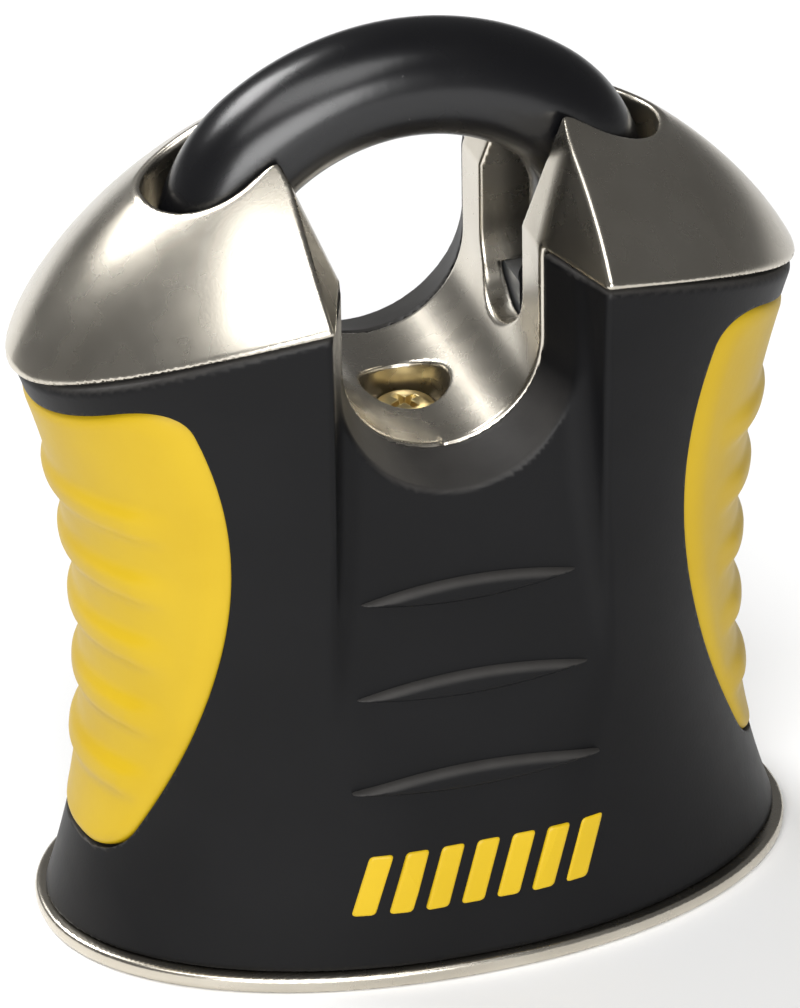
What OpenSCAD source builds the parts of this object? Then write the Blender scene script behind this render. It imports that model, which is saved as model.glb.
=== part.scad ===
// Closed-shackle padlock with a nickel shroud, a moulded jacket and two side grips.
// Origin: centre of the underside. X runs across the width, -Y is the front, +Z is up.
// The lock stands closed. The cylinder is at its unlocked turn, so both balls sit clear of the shackle.

/* [Body] */
// Half width of the jacket at its waist
waist_w = 36.2; // [32:0.1:42]
// Half depth of the jacket above its foot
waist_d = 24.6; // [21:0.1:28]
// Height of the waist above the underside
waist_z = 31; // [20:0.5:45]
// How far the half width grows from the waist to the foot
foot_flare_w = 5.9; // [0:0.1:8]
// How far the half depth grows from the waist to the foot
foot_flare_d = 1.0; // [0:0.1:3]
// How far the half width grows from the waist to the shoulder
shoulder_flare_w = 9.7; // [0:0.1:12]
// Height of the shoulder
shoulder_z = 76; // [60:0.5:85]
// Depth of the front panel face at the underside
panel_y = 25.7; // [23:0.1:27]
// How much the front panel leans back, in mm for each mm of height
panel_lean = 0.1; // [0:0.01:0.2]
// Thickness of the base plate
plate_t = 1.9; // [1.2:0.1:3]
// Half width of the base plate
plate_w = 42.6; // [38:0.1:46]
// Half depth of the base plate
plate_d = 26.3; // [22:0.1:29]

/* [Shroud] */
// Radius of the saddle that the shackle gap ends in
saddle_r = 10.95; // [9:0.05:12]
// Height of the saddle's centre
saddle_z = 69.8; // [64:0.1:74]
// Half depth of the saddle
saddle_d = 13.2; // [11:0.1:15]
// Half width of the dome that the two caps are cut from
dome_w = 46; // [40:0.1:50]
// Half depth of that dome
dome_d = 37.2; // [28:0.1:40]
// Height of the dome's widest level
dome_z = 60.8; // [50:0.1:70]
// Height of the dome above that level
dome_h = 38.3; // [30:0.1:44]
// Radius of the curve that the caps' lower edge follows
skirt_r = 84; // [70:1:160]
// Height of the lower edge on the centre plane
skirt_z = 81; // [76:0.1:85]
// Radius of the shackle holes in the caps
cap_hole_r = 7.4; // [6.8:0.05:8]
// Radius of the screw hole in the saddle
saddle_hole_r = 4.8; // [4:0.1:5.5]

/* [Shackle] */
// Diameter of the shackle bar
bar_d = 12.5; // [10:0.1:13]
// Distance from the centre to each leg
leg_x = 20.84; // [20:0.06:21.8]
// Height where the legs end and the bow begins
bow_z = 79.6; // [76:0.1:86]
// Radius of the bow's shoulders, to the bar's centre line
bow_side_r = 14; // [10:0.1:18]
// Height of the toe's tip
toe_z = 36.8; // [35:0.1:38]
// Height of the heel's end
heel_z = 8; // [7:0.1:12]

/* [Lock] */
// Diameter of a locking ball
ball_d = 8; // [6:0.5:9]
// Height of the balls
ball_z = 42.2; // [40:0.1:44]
// Distance of a retracted ball from the centre
ball_in = 10.4; // [10:0.1:11]
// Travel of a ball
ball_travel = 2.8; // [2:0.1:3]
// Radius of the plug
plug_r = 6.5; // [6:0.1:7]
// Radius of the cylinder shell
shell_r = 9.5; // [9:0.1:10]
// Height of the cylinder shell's top
shell_top = 35; // [30:0.5:36]
// Distance between neighbouring pins
pin_pitch = 4; // [3.6:0.1:4.2]
// Radius of a pin
pin_r = 1.3; // [1.2:0.05:1.45]
// Depth code of each key pin, from the key's entry inward
key_code = [2, 4, 1, 3, 5, 2];

/* [Grips] */
// How far the grips stand out of the jacket
grip_out = 0.3; // [0.1:0.1:2]
// How deep the grips are let into the jacket
grip_in = 1.4; // [1:0.1:2]
// Height of the ridges across the grips
ridge_h = 0.8; // [0:0.1:1.5]
// Distance between neighbouring ridges
ridge_pitch = 8.3; // [6:0.1:12]
// Height of the lowest ridge
ridge_z = 21.5; // [18:0.5:34]

/* [Hidden] */
$fn = 64;
eps = 0.01;
ring_steps = 48;
leg_r = bar_d/2;
bore_r = leg_r + 0.06;
core_w = 34;
body_n = 2;
dome_n = 1.7;
plate_n = 2.05;
core_n = 2.6;
lean_z = 80;
lean_rate = 0.385;
jacket_gap = 0.25;
grip_gap = 0.25;
grip_drop = 3.6;
grip_foot = [3.88, 18.3];
grip_foot_r = 6.5;
grip_side_y = 18.3;
grip_side_z = 57.5;
grip_side_r = 107.5;
inlay_in = 1;
core_d = 17.9;
core_gap = 0.15;
core_top = 68.5;
core_floor = 51.4;
trough_w = 13.1;
slot_d = 7;
slot_z = 72.5;
mouth_rate = 0.33;
seat_z = 53.8;
screw_r = 2;
ball_r = ball_d/2;
locked_x = ball_in + ball_travel;
cam_play = 0.1;
neck_r = 3.4;
neck_h = 3;
flat_z = 9.2;
flat_top = 65.5;
flat_depth = 2.85;
stop_pin_r = 1.5;
stop_pin_z = 63.5;
stop_pin_x = -leg_x - leg_r + flat_depth - stop_pin_r - 0.05;
bow_side_x = leg_x - bow_side_r;
plate_screw_x = 30.4;
bible_w = 2.9;
bible_y = 15.5;
pin_hole_r = pin_r + 0.05;
pin_split = plug_r - 0.3;
driver_y = plug_r + 0.2;
driver_l = 3.4;
cap_strip_y = 14.8;
first_pin_z = 8;
spring_r = 1.5;
spring_wire = 0.3;
spring_z = 3;
spring_l = 16;
panel_levels = [2, 24, 48, 83];
panel_edge = [22.5, 19.3, 15.9, 15.2];

// Outline formulas

function above(z) = max(z - waist_z, 0)/(shoulder_z - waist_z);
function below(z) = max(waist_z - z, 0)/waist_z;
function body_w(z) = waist_w + foot_flare_w*pow(below(z), 2) + shoulder_flare_w*pow(above(z), 2.1);
function body_d(z) = waist_d + foot_flare_d*pow(below(z), 2);
function signed_pow(v, p) = sign(v)*pow(abs(v), p);
function oval(a, b, n, z) = [
    for (i = [0 : ring_steps - 1])
        let (t = (i + 0.5)*360/ring_steps)
            [a*signed_pow(cos(t), 2/n), b*signed_pow(sin(t), 2/n), z]
];
function flat_oval(a, b, n) = [for (p = oval(a, b, n, 0)) [p.x, p.y]];
function panel_face(z) = panel_y - panel_lean*z;
function level(z) = (z - dome_z)/dome_h;
function dome_a(z) = dome_w*pow(1 - pow(level(z), 1.64), 1/1.64);
function dome_b(z) = dome_d*(1 - pow(level(z), 2));

// A closed skin through a stack of rings with equal point counts, lowest ring first.
module skin(rings) {
    n = len(rings[0]);
    m = len(rings);
    sides = [
        for (i = [0 : m - 2])
            for (j = [0 : n - 1])
                for (half = [0, 1])
                    let (k = (j + 1)%n)
                        half == 0 ? [i*n + j, (i + 1)*n + k, i*n + k] : [i*n + j, (i + 1)*n + j, (i + 1)*n + k]
    ];
    floor_face = [for (j = [0 : n - 1]) j];
    roof_face = [for (j = [0 : n - 1]) m*n - 1 - j];
    polyhedron(points = [for (ring = rings) each ring], faces = concat(sides, [floor_face], [roof_face]));
}

// Solid form of the body, grown outward by the distance given.
module body_form(grow, bottom, top, levels) {
    step = (top - bottom)/levels;
    skin([for (z = [bottom : step : top + eps]) oval(body_w(z) + grow, body_d(z) + grow, body_n, z)]);
}

// The room in front of the sunk panel and between the two pillars.
module panel_room(grow) {
    skin([
        for (i = [0 : len(panel_levels) - 1])
            let (z = panel_levels[i], y = panel_face(z) + grow, edge = panel_edge[i])
                [
                    [-edge - mouth_rate*7, -waist_d - 7, z],
                    [edge + mouth_rate*7, -waist_d - 7, z],
                    [edge - mouth_rate*(waist_d - y), -y, z],
                    [-edge + mouth_rate*(waist_d - y), -y, z]
                ]
    ]);
}

// The body with the panel sunk into its front and back.
module panelled_form(grow, bottom, top, levels) {
    difference() {
        body_form(grow, bottom, top, levels);
        for (turn = [0, 180]) {
            rotate([0, 0, turn]) panel_room(grow);
        }
    }
}

// The curve that the caps' lower edge and the jacket's top edge share, as a solid below it.
module below_skirt(r) {
    translate([0, 60, skirt_z - skirt_r]) rotate([90, 0, 0]) cylinder(r = r, h = 120, $fn = 180);
}

// The room of the shackle gap: a round bottom, upright walls, and walls that lean out at the top.
module saddle_room(r, d) {
    translate([0, d, saddle_z]) rotate([90, 0, 0]) cylinder(r = r, h = 2*d, $fn = 96);
    translate([0, d, 0])
        rotate([90, 0, 0])
            linear_extrude(2*d)
                polygon([
                    [-r, saddle_z], [r, saddle_z], [r, lean_z], [r + 30*lean_rate, lean_z + 30],
                    [-r - 30*lean_rate, lean_z + 30], [-r, lean_z]
                ]);
}

// One leg's place.
module at_legs() {
    for (side = [-1, 1]) {
        translate([side*leg_x, 0, 0]) children();
    }
}

// A coil spring that stands along Z, wound from a wire of six sides.
module coil(r, wire, length, turns, steps) {
    skin([
        for (i = [0 : turns*steps])
            let (t = i*360/steps, z = wire + (length - 2*wire)*i/(turns*steps))
                [
                    for (k = [0 : 5])
                        let (q = r + wire*cos(k*60))
                            [q*cos(t), q*sin(t), z - wire*sin(k*60)]
                ]
    ]);
}

// A cross recess for a driver, cut downward from z = 0.
module cross_recess(size, depth) {
    for (turn = [0, 90]) {
        rotate([0, 0, turn]) translate([-size, -size/5, -depth]) cube([2*size, 2*size/5, depth + 1]);
    }
}

// Shackle

// A full ring of bar, cut to the sector that the points enclose.
module bar_arc(r, sector) {
    intersection() {
        rotate_extrude() translate([r, 0]) circle(r = leg_r);
        translate([0, 0, -bar_d]) linear_extrude(2*bar_d) polygon(sector);
    }
}

// The shoulders end and the crown begins on lines that rise four for every three across.
module shackle_bow() {
    reach = 3*bow_side_r;
    rotate([90, 0, 0]) {
        for (side = [0, 1]) {
            mirror([side, 0, 0])
                translate([bow_side_x, bow_z, 0])
                    bar_arc(bow_side_r, [[0, 0], [reach, 0], [reach, reach*4/3], [0.75*reach, reach]]);
        }
        translate([0, bow_z - bow_side_x*4/3, 0])
            bar_arc(bow_side_r + bow_side_x*5/3, [[0, 0], [reach, reach*4/3], [-reach, reach*4/3]]);
    }
}

module shackle() {
    color([0.08, 0.08, 0.09])
        difference() {
            union() {
                translate([-leg_x, 0, heel_z]) cylinder(r = leg_r, h = bow_z - heel_z);
                translate([leg_x, 0, toe_z]) cylinder(r = leg_r, h = bow_z - toe_z);
                shackle_bow();
            }
            translate([-leg_x, 0, flat_z])
                difference() {
                    cylinder(r = leg_r + 1, h = neck_h);
                    cylinder(r = neck_r, h = neck_h);
                }
            translate([-leg_x - leg_r - 1, -leg_r - 1, flat_z])
                cube([flat_depth + 1, bar_d + 2, flat_top - flat_z]);
            for (side = [-1, 1]) {
                translate([side*locked_x, 0, ball_z]) sphere(r = ball_r + 0.2);
            }
            translate([-leg_x, 0, heel_z - 1]) cylinder(r = spring_r + spring_wire + 0.4, h = 13);
        }
}

// Shroud

module facet_room() {
    crease_low = [15.24, -24.74, 79.8];
    along = [-0.09, 12.65, 9.4];
    inward = [-4.3, 11.4, 0];
    outward = [-12, -8, 6];
    starts = [crease_low - 0.8*along, crease_low + 1.6*along];
    skin([for (p = starts) [p, p + 2.4*inward, p + outward]]);
}

module shroud() {
    color([0.72, 0.69, 0.62])
        difference() {
            union() {
                intersection() {
                    skin([for (k = [0 : 13]) let (z = core_top + 27*sin(k*90/13)) oval(dome_a(z), dome_b(z), dome_n, z)]);
                    union() {
                        difference() {
                            translate([-60, -60, core_top]) cube([120, 120, 40]);
                            below_skirt(skirt_r);
                        }
                        difference() {
                            translate([0, 0, core_top])
                                linear_extrude(20) polygon(flat_oval(core_w, core_d, core_n));
                            translate([-trough_w, -30, core_top - 1]) cube([2*trough_w, 60, 30]);
                        }
                    }
                }
                translate([-trough_w, -saddle_d, core_floor + 0.2])
                    cube([2*trough_w, 2*saddle_d, skirt_z - core_floor + 2]);
            }
            saddle_room(saddle_r, 40);
            at_legs() translate([0, 0, 40]) cylinder(r = cap_hole_r, h = 60);
            translate([-leg_x, -slot_d, slot_z]) cube([2*leg_x, 2*slot_d, 40]);
            translate([-leg_x, 0, slot_z]) rotate([0, 90, 0]) cylinder(r = slot_d, h = 2*leg_x);
            translate([0, 0, seat_z]) cylinder(r = saddle_hole_r, h = 20);
            translate([0, 0, core_floor]) cylinder(r = screw_r + 0.3, h = 5);
            for (mx = [0, 1]) {
                for (my = [0, 1]) {
                    mirror([mx, 0, 0]) mirror([0, my, 0]) facet_room();
                }
            }
        }
}

// Jacket

module grip_outline(grow) {
    bottom = [
        for (a = [-90 : 11 : -24])
            [grip_foot.x + (grip_foot_r + grow)*cos(a), grip_foot.y + (grip_foot_r + grow)*sin(a)]
    ];
    side = [for (z = [21 : 8 : 77]) [grip_side_y + grow - pow(z - grip_side_z, 2)/(2*grip_side_r), z]];
    half = concat(bottom, side);
    other = [for (i = [len(half) - 1 : -1 : 0]) [-half[i].x, half[i].y]];
    rotate([90, 0, 90]) linear_extrude(60) polygon(concat(half, other));
}

module grip_space(grow) {
    intersection() {
        grip_outline(grow);
        below_skirt(skirt_r - grip_drop + grow);
    }
}

module ribs() {
    lean = atan(panel_lean);
    for (i = [0 : 2]) {
        z = 45.6 - 10.9*i;
        half = 11.8 + i;
        tall = 1.25;
        arc_r = (half*half + tall*tall)/(2*tall);
        translate([0, -panel_face(z) + 0.6, z])
            rotate([90 - lean, 0, 0])
                linear_extrude(1.4)
                    intersection() {
                        translate([0, arc_r - tall]) circle(r = arc_r, $fn = 180);
                        translate([0, tall - arc_r]) circle(r = arc_r, $fn = 180);
                    }
    }
}

module inlay_bars(grow) {
    for (i = [-3 : 3]) {
        translate([4*i, -30, 12.2])
            rotate([-90, 0, 0])
                linear_extrude(20)
                    polygon([
                        [-2.4 - grow, 3.6 + grow], [0.2 + grow, 3.6 + grow],
                        [2.4 + grow, -3.6 - grow], [-0.2 - grow, -3.6 - grow]
                    ]);
    }
}

module jacket() {
    color([0.11, 0.11, 0.12])
        union() {
            difference() {
                intersection() {
                    panelled_form(0, plate_t, 82, 12);
                    below_skirt(skirt_r - jacket_gap);
                }
                difference() {
                    linear_extrude(90) polygon(flat_oval(core_w + core_gap, core_d + core_gap, core_n));
                    for (side = [-1, 1]) {
                        translate([-trough_w, side > 0 ? saddle_d + 0.15 : -30 - saddle_d - 0.15, core_floor + 0.2])
                            cube([2*trough_w, 30, 50]);
                    }
                }
                for (turn = [0, 180]) {
                    rotate([0, 0, turn]) {
                        translate([0, -saddle_d, saddle_z])
                            rotate([90, 0, 0])
                                cylinder(r1 = saddle_r, r2 = saddle_r + 20*mouth_rate, h = 20, $fn = 96);
                        translate([0, 0, saddle_z])
                            linear_extrude(30)
                                polygon([
                                    [-saddle_r, -saddle_d + 1], [saddle_r, -saddle_d + 1], [saddle_r, -saddle_d],
                                    [saddle_r + 20*mouth_rate, -saddle_d - 20],
                                    [-saddle_r - 20*mouth_rate, -saddle_d - 20], [-saddle_r, -saddle_d]
                                ]);
                        difference() {
                            grip_space(grip_gap);
                            body_form(-grip_in, 1, 83, 8);
                        }
                    }
                }
                difference() {
                    inlay_bars(0);
                    body_form(-inlay_in, 1, 30, 4);
                }
            }
            ribs();
        }
}

// Grips

function ridge(z) = ridge_h*pow(max(cos((z - ridge_z)*360/ridge_pitch), 0), 2);

module grip_form() {
    skin([
        for (z = [10 : ridge_pitch/8 : 81])
            [
                for (p = oval(1, 1, body_n, z))
                    let (grow = grip_out + (z > ridge_z - 4 && z < ridge_z + 4.6*ridge_pitch ? ridge(z) : 0)*pow(abs(p.x), 3))
                        [p.x*(body_w(z) + grow), p.y*(body_d(z) + grow), z]
            ]
    ]);
}

module grip() {
    color([0.94, 0.78, 0.10])
        difference() {
            intersection() {
                grip_form();
                grip_space(0);
            }
            body_form(-grip_in, 1, 83, 8);
        }
}

module grip_right() {
    grip();
}

module grip_left() {
    rotate([0, 0, 180]) grip();
}

module inlay() {
    color([0.94, 0.80, 0.10])
        intersection() {
            inlay_bars(-0.05);
            difference() {
                panelled_form(0.2, 6, 18, 4);
                body_form(0.1 - inlay_in, 1, 30, 4);
            }
        }
}

// Base plate and its screws

module base_plate() {
    color([0.70, 0.67, 0.60])
        difference() {
            skin([
                oval(plate_w - 0.4, plate_d - 0.4, plate_n, 0), oval(plate_w - 0.1, plate_d - 0.1, plate_n, 0.15),
                oval(plate_w, plate_d, plate_n, 0.4), oval(plate_w, plate_d, plate_n, plate_t)
            ]);
            translate([0, 0, -1]) cylinder(r = plug_r + 1.2, h = 5);
            for (side = [-1, 1]) {
                translate([side*plate_screw_x, 0, 0]) {
                    translate([0, 0, -1]) cylinder(r = 3.1, h = 1.15);
                    translate([0, 0, 0.15]) cylinder(r1 = 3.1, r2 = 1.6, h = 1.5);
                    cylinder(r = 1.6, h = 5);
                }
            }
        }
}

module base_screws() {
    color([0.62, 0.60, 0.55])
        for (side = [-1, 1]) {
            translate([side*plate_screw_x, 0, 0.15])
                difference() {
                    union() {
                        cylinder(r1 = 3, r2 = 1.5, h = 1.5);
                        cylinder(r = 1.5, h = 10);
                    }
                    mirror([0, 0, 1]) cross_recess(1.6, 0.9);
                }
        }
}

module saddle_screw() {
    color([0.72, 0.62, 0.34])
        translate([0, 0, seat_z])
            difference() {
                union() {
                    cylinder(r = 3.5, h = 1.9);
                    translate([0, 0, 1.9]) cylinder(r1 = 3.5, r2 = 2.6, h = 0.6);
                    translate([0, 0, -6.4]) cylinder(r = screw_r, h = 6.4);
                }
                translate([0, 0, 2.5]) cross_recess(2.1, 1.3);
            }
}

// Lock body

module core() {
    color([0.45, 0.46, 0.48])
        difference() {
            translate([0, 0, plate_t])
                linear_extrude(core_top - plate_t) polygon(flat_oval(core_w, core_d, core_n));
            translate([-trough_w - 0.3, -30, core_floor]) cube([2*trough_w + 0.6, 60, 30]);
            translate([-leg_x, 0, spring_z]) cylinder(r = bore_r, h = 80);
            translate([leg_x, 0, toe_z - 0.5]) cylinder(r = bore_r, h = 80);
            at_legs() translate([0, 0, stop_pin_z + stop_pin_r + 0.2]) cylinder(r = cap_hole_r + 0.1, h = 20);
            translate([0, 0, plate_t - 1]) cylinder(r = shell_r + 0.05, h = 46.8 - plate_t + 1);
            translate([-bible_w - 0.1, 0, plate_t - 1]) cube([2*bible_w + 0.2, bible_y + 0.2, shell_top + 0.3 - plate_t + 1]);
            translate([-leg_x, 0, ball_z]) rotate([0, 90, 0]) cylinder(r = ball_r + 0.1, h = 2*leg_x);
            translate([0, 0, 40]) cylinder(r = screw_r + 0.05, h = 20);
            translate([stop_pin_x, 12.1, stop_pin_z]) rotate([90, 0, 0]) cylinder(r = stop_pin_r + 0.02, h = 24.2);
            for (side = [-1, 1]) {
                translate([side*plate_screw_x, 0, 0]) cylinder(r = 1.52, h = 10.5);
            }
        }
}

module heel_stop_pin() {
    color([0.55, 0.56, 0.58])
        translate([stop_pin_x, 12, stop_pin_z]) rotate([90, 0, 0]) cylinder(r = stop_pin_r, h = 24);
}

module shackle_spring() {
    color([0.60, 0.60, 0.62])
        translate([-leg_x, 0, spring_z]) coil(spring_r, spring_wire, spring_l, 9, 10);
}

// Cylinder

module pin_places() {
    for (i = [0 : len(key_code) - 1]) {
        translate([0, 0, first_pin_z + pin_pitch*i]) rotate([-90, 0, 0]) children();
    }
}

module cylinder_shell() {
    color([0.70, 0.58, 0.30])
        difference() {
            translate([0, 0, plate_t])
                union() {
                    cylinder(r = shell_r, h = shell_top - plate_t);
                    translate([-bible_w, 0, 0]) cube([2*bible_w, bible_y, shell_top - plate_t]);
                }
            cylinder(r = plug_r + 0.05, h = 60);
            pin_places() cylinder(r = pin_hole_r, h = cap_strip_y);
            translate([-1.6, cap_strip_y - eps, first_pin_z - 2.2])
                cube([3.2, 2, pin_pitch*(len(key_code) - 1) + 4.4]);
        }
}

module plug() {
    color([0.76, 0.64, 0.34])
        difference() {
            union() {
                translate([0, 0, 0.3]) cylinder(r = plug_r + 0.8, h = 1.5);
                translate([0, 0, 1]) cylinder(r = plug_r, h = shell_top - 1 + 0.05);
                translate([0, 0, shell_top]) cylinder(r = 5.2, h = 3);
                translate([-2.5, -2.5, shell_top]) cube([5, 5, 11]);
            }
            translate([-1.15, -4.6, -1]) cube([2.3, 6.2, 31]);
            translate([-0.45, 1, -1]) cube([1.6, 3.4, 31]);
            pin_places() cylinder(r = pin_hole_r, h = 10);
            translate([0, 0, shell_top + 0.1])
                difference() {
                    cylinder(r = 6, h = 0.8);
                    cylinder(r = 4.5, h = 0.8);
                }
        }
}

module key_pins() {
    color([0.80, 0.70, 0.42])
        for (i = [0 : len(key_code) - 1]) {
            translate([0, 0, first_pin_z + pin_pitch*i])
                rotate([-90, 0, 0]) {
                    low = 3.2 - 0.4*key_code[i];
                    translate([0, 0, low]) cylinder(r1 = 0.5, r2 = pin_r, h = 0.8);
                    translate([0, 0, low + 0.8]) cylinder(r = pin_r, h = pin_split - low - 0.8);
                }
        }
}

module driver_pins() {
    color([0.78, 0.68, 0.40])
        pin_places() translate([0, 0, driver_y]) cylinder(r = pin_r, h = driver_l);
}

module pin_springs() {
    color([0.62, 0.62, 0.64])
        pin_places() translate([0, 0, driver_y + driver_l]) coil(0.95, 0.2, cap_strip_y - driver_y - driver_l, 4, 8);
}

module chamber_strip() {
    color([0.66, 0.56, 0.30])
        translate([-1.6, cap_strip_y, first_pin_z - 2.2])
            cube([3.2, bible_y - cap_strip_y, pin_pitch*(len(key_code) - 1) + 4.4]);
}

module plug_clip() {
    color([0.35, 0.36, 0.38])
        translate([0, 0, shell_top + 0.1])
            difference() {
                cylinder(r = 7.6, h = 0.8);
                cylinder(r = 4.55, h = 0.8);
                translate([-1.8, 0, 0]) cube([3.6, 9, 0.8]);
            }
}

// Cam: a ball that rolls on it moves outward in step with the turn.

cam_rate = ball_travel*180/(90*PI);

function lift(t) = ball_in + ball_travel*t/90;
function tilt(t) = atan(cam_rate/lift(t));
function cam_point(t) = [
    lift(t)*cos(t) - (ball_r + cam_play)*cos(t - tilt(t)),
    lift(t)*sin(t) - (ball_r + cam_play)*sin(t - tilt(t))
];

module cam() {
    quarter = [for (t = [0 : 6 : 84]) cam_point(t)];
    last = len(quarter) - 1;
    outline = concat(
        quarter,
        [for (i = [last : -1 : 0]) [-quarter[i].x, quarter[i].y]],
        [for (i = [0 : last]) [-quarter[i].x, -quarter[i].y]],
        [for (i = [last : -1 : 0]) [quarter[i].x, -quarter[i].y]]
    );
    color([0.50, 0.51, 0.53])
        translate([0, 0, shell_top + 3])
            linear_extrude(8.4)
                difference() {
                    polygon(outline);
                    square(5, center = true);
                }
}

module ball(side) {
    color([0.75, 0.76, 0.78])
        translate([side*ball_in, 0, ball_z]) sphere(r = ball_r);
}

module ball_left() {
    ball(-1);
}

module ball_right() {
    ball(1);
}

shackle();
shroud();
jacket();
core();
grip_left();
grip_right();
base_plate();
base_screws();
saddle_screw();
inlay();
cylinder_shell();
plug();
key_pins();
driver_pins();
pin_springs();
chamber_strip();
cam();
plug_clip();
ball_left();
ball_right();
heel_stop_pin();
shackle_spring();
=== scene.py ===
"""Looks of a closed-shackle padlock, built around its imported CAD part.

Every form below is written in millimetres, in the CAD's own frame (X across the width, -Y the front,
+Z up, origin at the centre of the underside), and turned into metres as its mesh is made.
"""

import logging
import math
from dataclasses import dataclass
from enum import Enum
from typing import Any, Callable, Sequence, Union

import bpy
import numpy as np
from mathutils import Matrix, Vector


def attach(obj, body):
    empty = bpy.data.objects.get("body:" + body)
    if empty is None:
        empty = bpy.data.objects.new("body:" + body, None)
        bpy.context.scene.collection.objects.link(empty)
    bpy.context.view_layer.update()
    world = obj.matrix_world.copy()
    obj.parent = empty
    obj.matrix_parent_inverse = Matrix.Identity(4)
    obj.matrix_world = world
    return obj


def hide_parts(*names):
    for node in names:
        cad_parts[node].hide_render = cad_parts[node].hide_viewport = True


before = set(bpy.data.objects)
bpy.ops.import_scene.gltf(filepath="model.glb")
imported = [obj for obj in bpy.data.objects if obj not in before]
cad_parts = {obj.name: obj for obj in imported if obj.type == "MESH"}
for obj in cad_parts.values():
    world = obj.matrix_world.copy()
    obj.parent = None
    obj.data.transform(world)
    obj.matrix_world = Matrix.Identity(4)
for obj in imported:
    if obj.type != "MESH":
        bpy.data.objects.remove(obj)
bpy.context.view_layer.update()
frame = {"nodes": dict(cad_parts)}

LOG = logging.getLogger("padlock")
MM = 0.001
# Point attribute that holds the share of painted top light: pale colour on up-facing faces, standing in for
# light from above.
TOP_LIGHT_ATTRIBUTE = "painted_top_light"

Array = np.ndarray
Form = Callable[[Array, Array, Array], Array]
Triple = tuple[float, float, float]
Space = tuple[Triple, Triple]

FAR = 50.0
LEAST_SHARE = 1e-4
LEAST_RISE = 1e-5
LEAST_SLOPE = 1e-3
LEAST_LENGTH = 1e-9
SETTLE_STEPS = 5
SETTLE_REACH = 0.06
SHADING_REACH = 0.08


# ----- Form algebra: a form gives the signed distance, in mm, from a point to its surface -----


def soft_both(a: Array, b: Array, reach: float) -> Array:
    """Common part of two forms, its edge rounded from that reach in mm."""
    near = np.maximum(reach - np.abs(a - b), 0.0) / reach
    return np.maximum(a, b) + near * near * reach / 4


def soft_join(a: Array, b: Array, reach: float) -> Array:
    """Two forms joined, their corner filled from that reach in mm."""
    return -soft_both(-a, -b, reach)


def ramp(value: Array, low: float, high: float) -> Array:
    """Smooth step of a value, from 0 at low to 1 at high."""
    t = np.clip((value - low) / (high - low), 0.0, 1.0)
    return t * t * (3.0 - 2.0 * t)


def oval(x: Array, y: Array, half_w: Array, half_d: Array, power: Array) -> Array:
    """Distance from a superellipse of the given half sizes in the XY plane.

    Args:
        x: across.
        y: depth.
        half_w: half width.
        half_d: half depth.
        power: 2 is an ellipse, more is squarer.

    Returns:
        Signed distance, negative inside.
    """
    px = np.maximum(np.abs(x) / half_w, LEAST_SHARE)
    py = np.maximum(np.abs(y) / half_d, LEAST_SHARE)
    rx = px ** (power - 1.0)
    ry = py ** (power - 1.0)
    total = rx * px + ry * py
    radius = total ** (1.0 / power)
    slope = total ** (1.0 / power - 1.0) * np.sqrt((rx / half_w) ** 2 + (ry / half_d) ** 2)
    return (radius - 1.0) / np.maximum(slope, LEAST_RISE)


# ----- Surface nets: a form becomes a mesh of quads that lie on it -----

CORNERS = np.array([[i, j, k] for i in (0, 1) for j in (0, 1) for k in (0, 1)])
EDGES = [(a, b) for a in range(8) for b in range(a + 1, 8) if np.abs(CORNERS[a] - CORNERS[b]).sum() == 1]


def slopes(form: Form, points: Array, reach: float) -> Array:
    """Gradient of a form at points.

    Args:
        form: the form.
        points: places, one a row.
        reach: distance between the two samples of each difference, in mm.

    Returns:
        The gradients, one a row.
    """
    out = np.empty_like(points)
    for axis in range(3):
        step = np.zeros(3)
        step[axis] = reach / 2
        ahead = form(*(points + step).T)
        behind = form(*(points - step).T)
        out[:, axis] = (ahead - behind) / reach
    return out


def surface_net(form: Form, space: Space, cell: float) -> tuple[Array, Array]:
    """Meshes a form's zero surface.

    Args:
        form: the form.
        space: lowest and highest corner of the space searched.
        cell: size of a cell, in mm.

    Returns:
        Points and quads.
    """
    axes = [np.arange(a, b + cell, cell, dtype=np.float32) for a, b in zip(*space)]
    grid = np.meshgrid(*axes, indexing="ij", sparse=True)
    values = np.broadcast_to(form(*grid), [len(a) for a in axes]).astype(np.float32)
    inside = values < 0
    count = np.zeros([n - 1 for n in inside.shape], np.uint8)
    nx, ny, nz = count.shape
    for i, j, k in CORNERS:
        count += inside[i:i + nx, j:j + ny, k:k + nz]
    cells = np.argwhere((count > 0) & (count < 8))
    total = np.zeros((len(cells), 3))
    hits = np.zeros(len(cells))
    corner_values = [values[tuple((cells + c).T)] for c in CORNERS]
    for a, b in EDGES:
        fa, fb = corner_values[a], corner_values[b]
        crossed = (fa < 0) != (fb < 0)
        share = np.where(crossed, fa / np.where(crossed, fa - fb, 1.0), 0.0)
        place = CORNERS[a] + share[:, None] * (CORNERS[b] - CORNERS[a])
        total += np.where(crossed[:, None], place, 0.0)
        hits += crossed
    points = (cells + total / hits[:, None]) * cell + np.array([a[0] for a in axes])
    number = np.full(count.shape, -1, np.int64)
    number[tuple(cells.T)] = np.arange(len(cells))
    quads = []
    for axis in range(3):
        u, v = (axis + 1) % 3, (axis + 2) % 3
        ends = [slice(1, -1)] * 3
        ends[axis] = slice(0, -1)
        ahead = list(ends)
        ahead[axis] = slice(1, None)
        here, there = inside[tuple(ends)], inside[tuple(ahead)]
        for start, flip in ((here & ~there, False), (~here & there, True)):
            place = np.argwhere(start)
            place[:, u] += 1
            place[:, v] += 1
            ring = []
            for du, dv in ((1, 1), (0, 1), (0, 0), (1, 0)):
                at = place.copy()
                at[:, u] -= du
                at[:, v] -= dv
                ring.append(number[tuple(at.T)])
            quad = np.stack(ring, 1)
            quads.append(quad[:, ::-1] if flip else quad)
    return points, np.concatenate(quads)


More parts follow.
